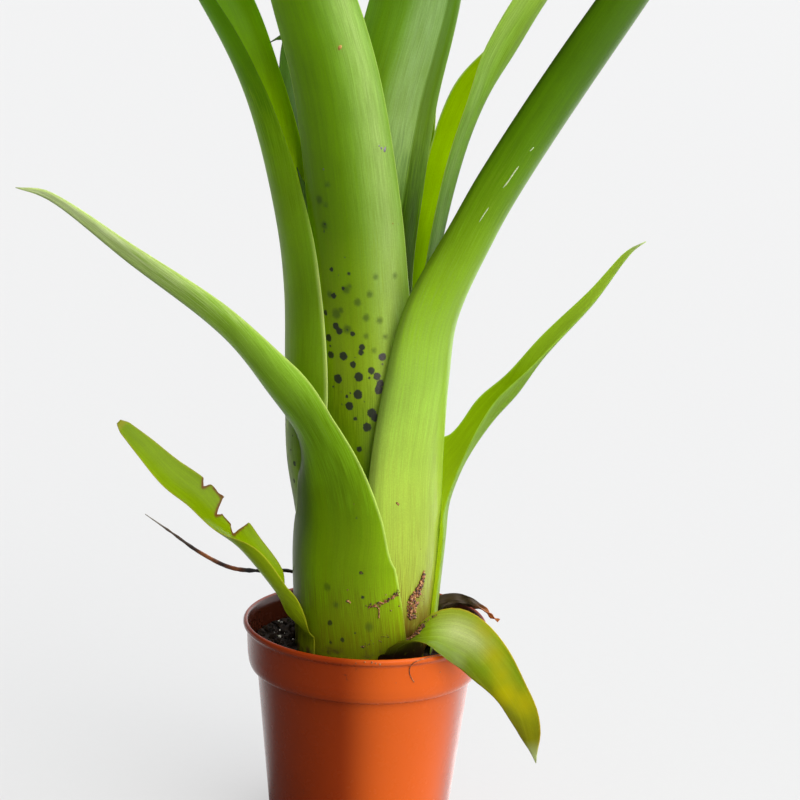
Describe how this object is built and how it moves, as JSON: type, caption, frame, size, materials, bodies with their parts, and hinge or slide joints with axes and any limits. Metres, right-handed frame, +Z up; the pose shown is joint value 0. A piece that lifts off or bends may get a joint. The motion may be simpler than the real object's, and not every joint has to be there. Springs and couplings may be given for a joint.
{
  "type": "potted racinaea dyeriana",
  "caption": "Small round nursery pot holding a tank bromeliad with a tight tube of leaf sheaths that opens into arching green strap leaves.",
  "frame": {"origin": "centre of the pot's flat underside", "axes": "+Z up along the pot's axis; -Y to the front, the side that the picture shows; +X to the right"},
  "size_m": [0.1819, 0.1476, 0.2761],
  "materials": {
    "pot_plastic": "injection-moulded polypropylene, terracotta orange, semi-gloss with a rolled lip",
    "peat": null,
    "stem": "short woody stem, pale and fibrous",
    "leaf": "fresh smooth bromeliad leaf, waxy semi-gloss, fine lengthwise veins, dark purple spots on one sheath",
    "old_leaf": "ageing outer leaf, yellow-green with browned edges",
    "dry_leaf": "dried brown leaf, matt and fibrous"
  },
  "bodies": {
    "root": {"pot": "pot_plastic", "soil": "peat", "stem": "stem", "leaf_left_low": "leaf", "leaf_right_low": "leaf", "leaf_back_low": "leaf", "leaf_right_tall": "leaf", "leaf_left_tall": "leaf", "leaf_front": "leaf", "leaf_back": "leaf", "leaf_centre": "leaf", "leaf_back_left": "leaf", "leaf_right_inner": "leaf", "leaf_hooked": "leaf", "leaf_young": "leaf", "leaf_left_chewed": "old_leaf", "leaf_right_drooping": "old_leaf", "dry_leaf": "dry_leaf", "dry_strand": "dry_leaf"}
  },
  "joints": []
}
